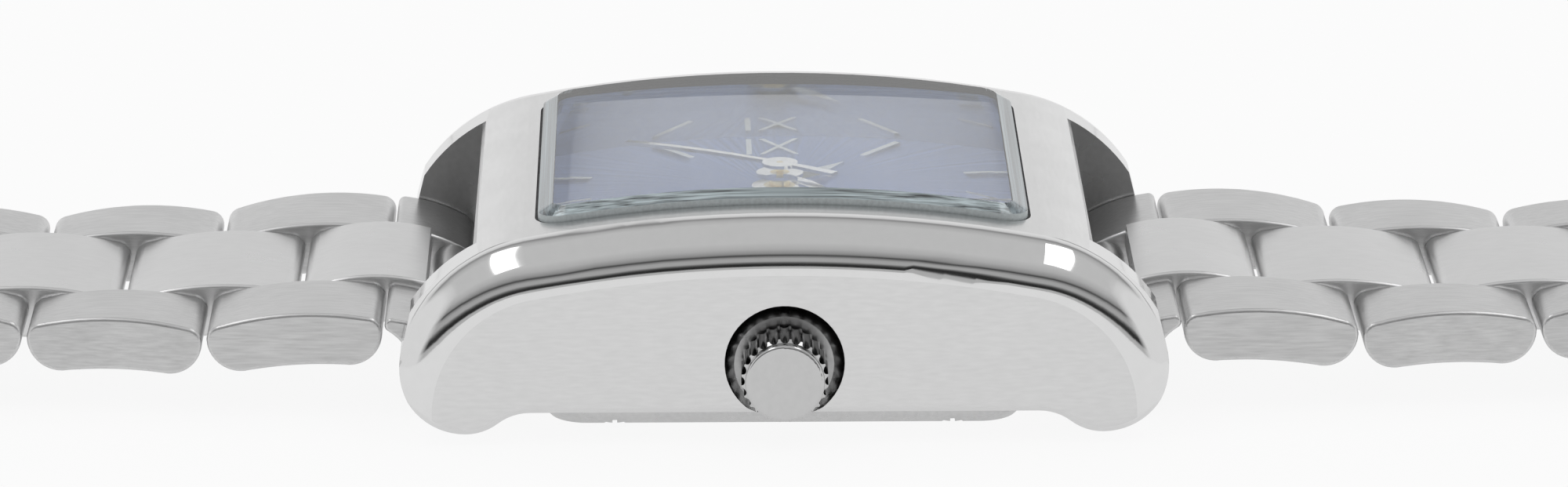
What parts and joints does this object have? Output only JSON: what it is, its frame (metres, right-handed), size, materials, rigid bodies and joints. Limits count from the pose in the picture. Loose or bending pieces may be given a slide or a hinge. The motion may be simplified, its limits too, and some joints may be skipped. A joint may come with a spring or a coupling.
{
  "type": "rectangular wristwatch",
  "caption": "Rectangular curved wristwatch on a tapering three-row steel link bracelet with folding clasp, polished shoulders, blue dial and fluted crown.",
  "frame": {"origin": "middle of the case back's flat lower face", "axes": "+X to 3 o'clock (the crown), +Y to 12 o'clock along the bracelet, +Z out of the dial"},
  "size_m": [0.0292, 0.1603, 0.0109],
  "materials": {
    "case_steel": "satin sides, polished shoulders",
    "back_steel": "circular satin",
    "bar_steel": "turned",
    "crown_steel": "polished",
    "link_steel": "lengthwise brushed",
    "center_steel": "fine satin",
    "blade_steel": "fine satin",
    "bridge_steel": "satin",
    "cell_steel": "satin",
    "crystal": "clear polished",
    "gasket": "matte",
    "flange_polish": "polished",
    "dial_blue": "sunray blue lacquer",
    "hand_polish": "polished",
    "holder_plastic": "moulded",
    "plate_brass": "satin",
    "wheel_brass": "satin",
    "wheel_plastic": "moulded",
    "board": "coated",
    "coil_copper": "enamelled copper wire",
    "rotor_dark": "sintered magnet"
  },
  "bodies": {
    "case": {"case_body": "case_steel", "crystal": "crystal", "crystal_gasket": "gasket", "dial_flange": "flange_polish", "dial": "dial_blue", "hour_markers": "hand_polish", "movement_holder": "holder_plastic", "main_plate": "plate_brass", "train_bridge": "bridge_steel", "circuit_board": "board", "coil": "coil_copper", "stator": "bridge_steel", "battery": "cell_steel", "battery_clamp": "cell_steel", "crown_tube": "bar_steel", "caseback": "back_steel", "caseback_gasket": "gasket", "caseback_screws": "back_steel", "spring_bars": "bar_steel"},
    "seconds": {"seconds_wheel": "wheel_brass", "second_hand": "hand_polish"},
    "minutes": {"center_wheel": "wheel_brass", "minute_hand": "hand_polish"},
    "hours": {"hour_wheel": "wheel_brass", "hour_hand": "hand_polish"},
    "third": {"third_wheel": "wheel_brass"},
    "intermediate": {"intermediate_wheel": "wheel_plastic"},
    "rotor": {"rotor": "rotor_dark"},
    "minute_wheel": {"minute_wheel": "wheel_brass"},
    "crown_slider": {"crown_gasket": "gasket"},
    "crown": {"crown": "crown_steel", "stem": "bar_steel"},
    "end_12": {"end_link_12": "link_steel"},
    "center_12_1": {"center_link_12_1": "center_steel"},
    "outer_12_1": {"outer_links_12_1": "link_steel"},
    "center_12_2": {"center_link_12_2": "center_steel"},
    "outer_12_2": {"outer_links_12_2": "link_steel"},
    "center_12_3": {"center_link_12_3": "center_steel"},
    "outer_12_3": {"outer_links_12_3": "link_steel"},
    "center_12_4": {"center_link_12_4": "center_steel"},
    "outer_12_4": {"outer_links_12_4": "link_steel"},
    "center_12_5": {"center_link_12_5": "center_steel"},
    "outer_12_5": {"outer_links_12_5": "link_steel"},
    "center_12_6": {"center_link_12_6": "center_steel"},
    "end_6": {"end_link_6": "link_steel"},
    "center_6_1": {"center_link_6_1": "center_steel"},
    "outer_6_1": {"outer_links_6_1": "link_steel"},
    "center_6_2": {"center_link_6_2": "center_steel"},
    "outer_6_2": {"outer_links_6_2": "link_steel"},
    "center_6_3": {"center_link_6_3": "center_steel"},
    "outer_6_3": {"outer_links_6_3": "link_steel"},
    "center_6_4": {"center_link_6_4": "center_steel"},
    "outer_6_4": {"outer_links_6_4": "link_steel"},
    "center_6_5": {"center_link_6_5": "center_steel"},
    "outer_6_5": {"outer_links_6_5": "link_steel"},
    "center_6_6": {"center_link_6_6": "center_steel"},
    "clasp_cover": {"clasp_cover": "link_steel", "clasp_pins": "bar_steel"},
    "middle_blade": {"middle_blade": "blade_steel"},
    "end_blade": {"end_blade": "blade_steel"}
  },
  "joints": [
    {"name": "seconds_spin", "type": "hinge", "parent": "case", "child": "seconds", "pos_m": [0, 0, 0.00255], "axis": [0, 0, -1], "continuous": true},
    {"name": "minutes_spin", "type": "hinge", "parent": "case", "child": "minutes", "pos_m": [0, 0, 0.00356], "axis": [0, 0, -1], "continuous": true},
    {"name": "hours_spin", "type": "hinge", "parent": "case", "child": "hours", "pos_m": [0, 0, 0.00532], "axis": [0, 0, -1], "continuous": true},
    {"name": "third_spin", "type": "hinge", "parent": "case", "child": "third", "pos_m": [-0.0024, 0.0024, 0.00292], "axis": [0, 0, -1], "continuous": true},
    {"name": "intermediate_spin", "type": "hinge", "parent": "case", "child": "intermediate", "pos_m": [-0.00058, -0.00331, 0.0032], "axis": [0, 0, -1], "continuous": true},
    {"name": "rotor_spin", "type": "hinge", "parent": "case", "child": "rotor", "pos_m": [-0.00228, -0.00501, 0.00262], "axis": [0, 0, -1], "continuous": true},
    {"name": "minute_wheel_spin", "type": "hinge", "parent": "case", "child": "minute_wheel", "pos_m": [-0.00197, -0.00138, 0.00506], "axis": [0, 0, -1], "continuous": true},
    {"name": "crown_pull", "type": "slide", "parent": "case", "child": "crown_slider", "axis": [1, 0, 0], "range_m": [0, 0.001]},
    {"name": "crown_spin", "type": "hinge", "parent": "crown_slider", "child": "crown", "pos_m": [0.0126, 0, 0.00321], "axis": [1, 0, 0], "continuous": true},
    {"name": "end_12_swing", "type": "hinge", "parent": "case", "child": "end_12", "pos_m": [0, 0.0157, 0.0029], "axis": [-1, 0, 0], "range_deg": [-10, 25]},
    {"name": "center_12_1_bend", "type": "hinge", "parent": "end_12", "child": "center_12_1", "pos_m": [0, 0.0175, 0.00383], "axis": [-1, 0, 0], "range_deg": [-8, 8]},
    {"name": "outer_12_1_bend", "type": "hinge", "parent": "center_12_1", "child": "outer_12_1", "pos_m": [0, 0.0205, 0.00373], "axis": [-1, 0, 0], "range_deg": [-8, 8]},
    {"name": "center_12_2_bend", "type": "hinge", "parent": "outer_12_1", "child": "center_12_2", "pos_m": [0, 0.02469, 0.00343], "axis": [-1, 0, 0], "range_deg": [-5, 11]},
    {"name": "outer_12_2_bend", "type": "hinge", "parent": "center_12_2", "child": "outer_12_2", "pos_m": [0, 0.02888, 0.00321], "axis": [-1, 0, 0], "range_deg": [-3, 13]},
    {"name": "center_12_3_bend", "type": "hinge", "parent": "outer_12_2", "child": "center_12_3", "pos_m": [0, 0.03308, 0.00321], "axis": [-1, 0, 0], "range_deg": [-4, 12]},
    {"name": "outer_12_3_bend", "type": "hinge", "parent": "center_12_3", "child": "outer_12_3", "pos_m": [0, 0.03728, 0.00336], "axis": [-1, 0, 0], "range_deg": [-6, 10]},
    {"name": "center_12_4_bend", "type": "hinge", "parent": "outer_12_3", "child": "center_12_4", "pos_m": [0, 0.04148, 0.00351], "axis": [-1, 0, 0], "range_deg": [-19.71, 1]},
    {"name": "outer_12_4_bend", "type": "hinge", "parent": "center_12_4", "child": "outer_12_4", "pos_m": [0, 0.04559, 0.00265], "axis": [-1, 0, 0], "range_deg": [-6, 10]},
    {"name": "center_12_5_bend", "type": "hinge", "parent": "outer_12_4", "child": "center_12_5", "pos_m": [0, 0.0497, 0.0018], "axis": [-1, 0, 0], "range_deg": [-1, 15.85]},
    {"name": "outer_12_5_bend", "type": "hinge", "parent": "center_12_5", "child": "outer_12_5", "pos_m": [0, 0.05388, 0.00137], "axis": [-1, 0, 0], "range_deg": [-1, 15.85]},
    {"name": "center_12_6_bend", "type": "hinge", "parent": "outer_12_5", "child": "center_12_6", "pos_m": [0, 0.05808, 0.00137], "axis": [-1, 0, 0], "range_deg": [-6, 10]},
    {"name": "end_6_swing", "type": "hinge", "parent": "case", "child": "end_6", "pos_m": [0, -0.0157, 0.0029], "axis": [1, 0, 0], "range_deg": [-10, 25]},
    {"name": "center_6_1_bend", "type": "hinge", "parent": "end_6", "child": "center_6_1", "pos_m": [0, -0.0175, 0.00383], "axis": [1, 0, 0], "range_deg": [-8, 8]},
    {"name": "outer_6_1_bend", "type": "hinge", "parent": "center_6_1", "child": "outer_6_1", "pos_m": [0, -0.0205, 0.00373], "axis": [1, 0, 0], "range_deg": [-8, 8]},
    {"name": "center_6_2_bend", "type": "hinge", "parent": "outer_6_1", "child": "center_6_2", "pos_m": [0, -0.02469, 0.00343], "axis": [1, 0, 0], "range_deg": [-5, 11]},
    {"name": "outer_6_2_bend", "type": "hinge", "parent": "center_6_2", "child": "outer_6_2", "pos_m": [0, -0.02888, 0.00321], "axis": [1, 0, 0], "range_deg": [-3, 13]},
    {"name": "center_6_3_bend", "type": "hinge", "parent": "outer_6_2", "child": "center_6_3", "pos_m": [0, -0.03308, 0.00321], "axis": [1, 0, 0], "range_deg": [-4, 12]},
    {"name": "outer_6_3_bend", "type": "hinge", "parent": "center_6_3", "child": "outer_6_3", "pos_m": [0, -0.03728, 0.00336], "axis": [1, 0, 0], "range_deg": [-6, 10]},
    {"name": "center_6_4_bend", "type": "hinge", "parent": "outer_6_3", "child": "center_6_4", "pos_m": [0, -0.04148, 0.00351], "axis": [1, 0, 0], "range_deg": [-19.71, 1]},
    {"name": "outer_6_4_bend", "type": "hinge", "parent": "center_6_4", "child": "outer_6_4", "pos_m": [0, -0.04559, 0.00265], "axis": [1, 0, 0], "range_deg": [-6, 10]},
    {"name": "center_6_5_bend", "type": "hinge", "parent": "outer_6_4", "child": "center_6_5", "pos_m": [0, -0.0497, 0.0018], "axis": [1, 0, 0], "range_deg": [-1, 15.85]},
    {"name": "outer_6_5_bend", "type": "hinge", "parent": "center_6_5", "child": "outer_6_5", "pos_m": [0, -0.05388, 0.00137], "axis": [1, 0, 0], "range_deg": [-1, 15.85]},
    {"name": "center_6_6_bend", "type": "hinge", "parent": "outer_6_5", "child": "center_6_6", "pos_m": [0, -0.05808, 0.00137], "axis": [1, 0, 0], "range_deg": [-6, 10]},
    {"name": "clasp_cover_bend", "type": "hinge", "parent": "center_6_6", "child": "clasp_cover", "pos_m": [0, -0.06228, 0.00137], "axis": [1, 0, 0], "range_deg": [-5, 10]},
    {"name": "middle_blade_fold", "type": "hinge", "parent": "clasp_cover", "child": "middle_blade", "pos_m": [0, -0.09238, 0.00177], "axis": [-1, 0, 0], "range_deg": [0, 165]},
    {"name": "end_blade_fold", "type": "hinge", "parent": "middle_blade", "child": "end_blade", "pos_m": [0, -0.06737, 0.00232], "axis": [1, 0, 0], "range_deg": [0, 140]}
  ],
  "couplings": [
    {"joint": "minutes_spin", "follows": "seconds_spin", "ratio": 0.016667},
    {"joint": "hours_spin", "follows": "seconds_spin", "ratio": 0.0013889},
    {"joint": "third_spin", "follows": "seconds_spin", "ratio": -0.13333},
    {"joint": "minute_wheel_spin", "follows": "seconds_spin", "ratio": -0.0055556},
    {"joint": "intermediate_spin", "follows": "seconds_spin", "ratio": -6},
    {"joint": "rotor_spin", "follows": "seconds_spin", "ratio": 30}
  ]
}
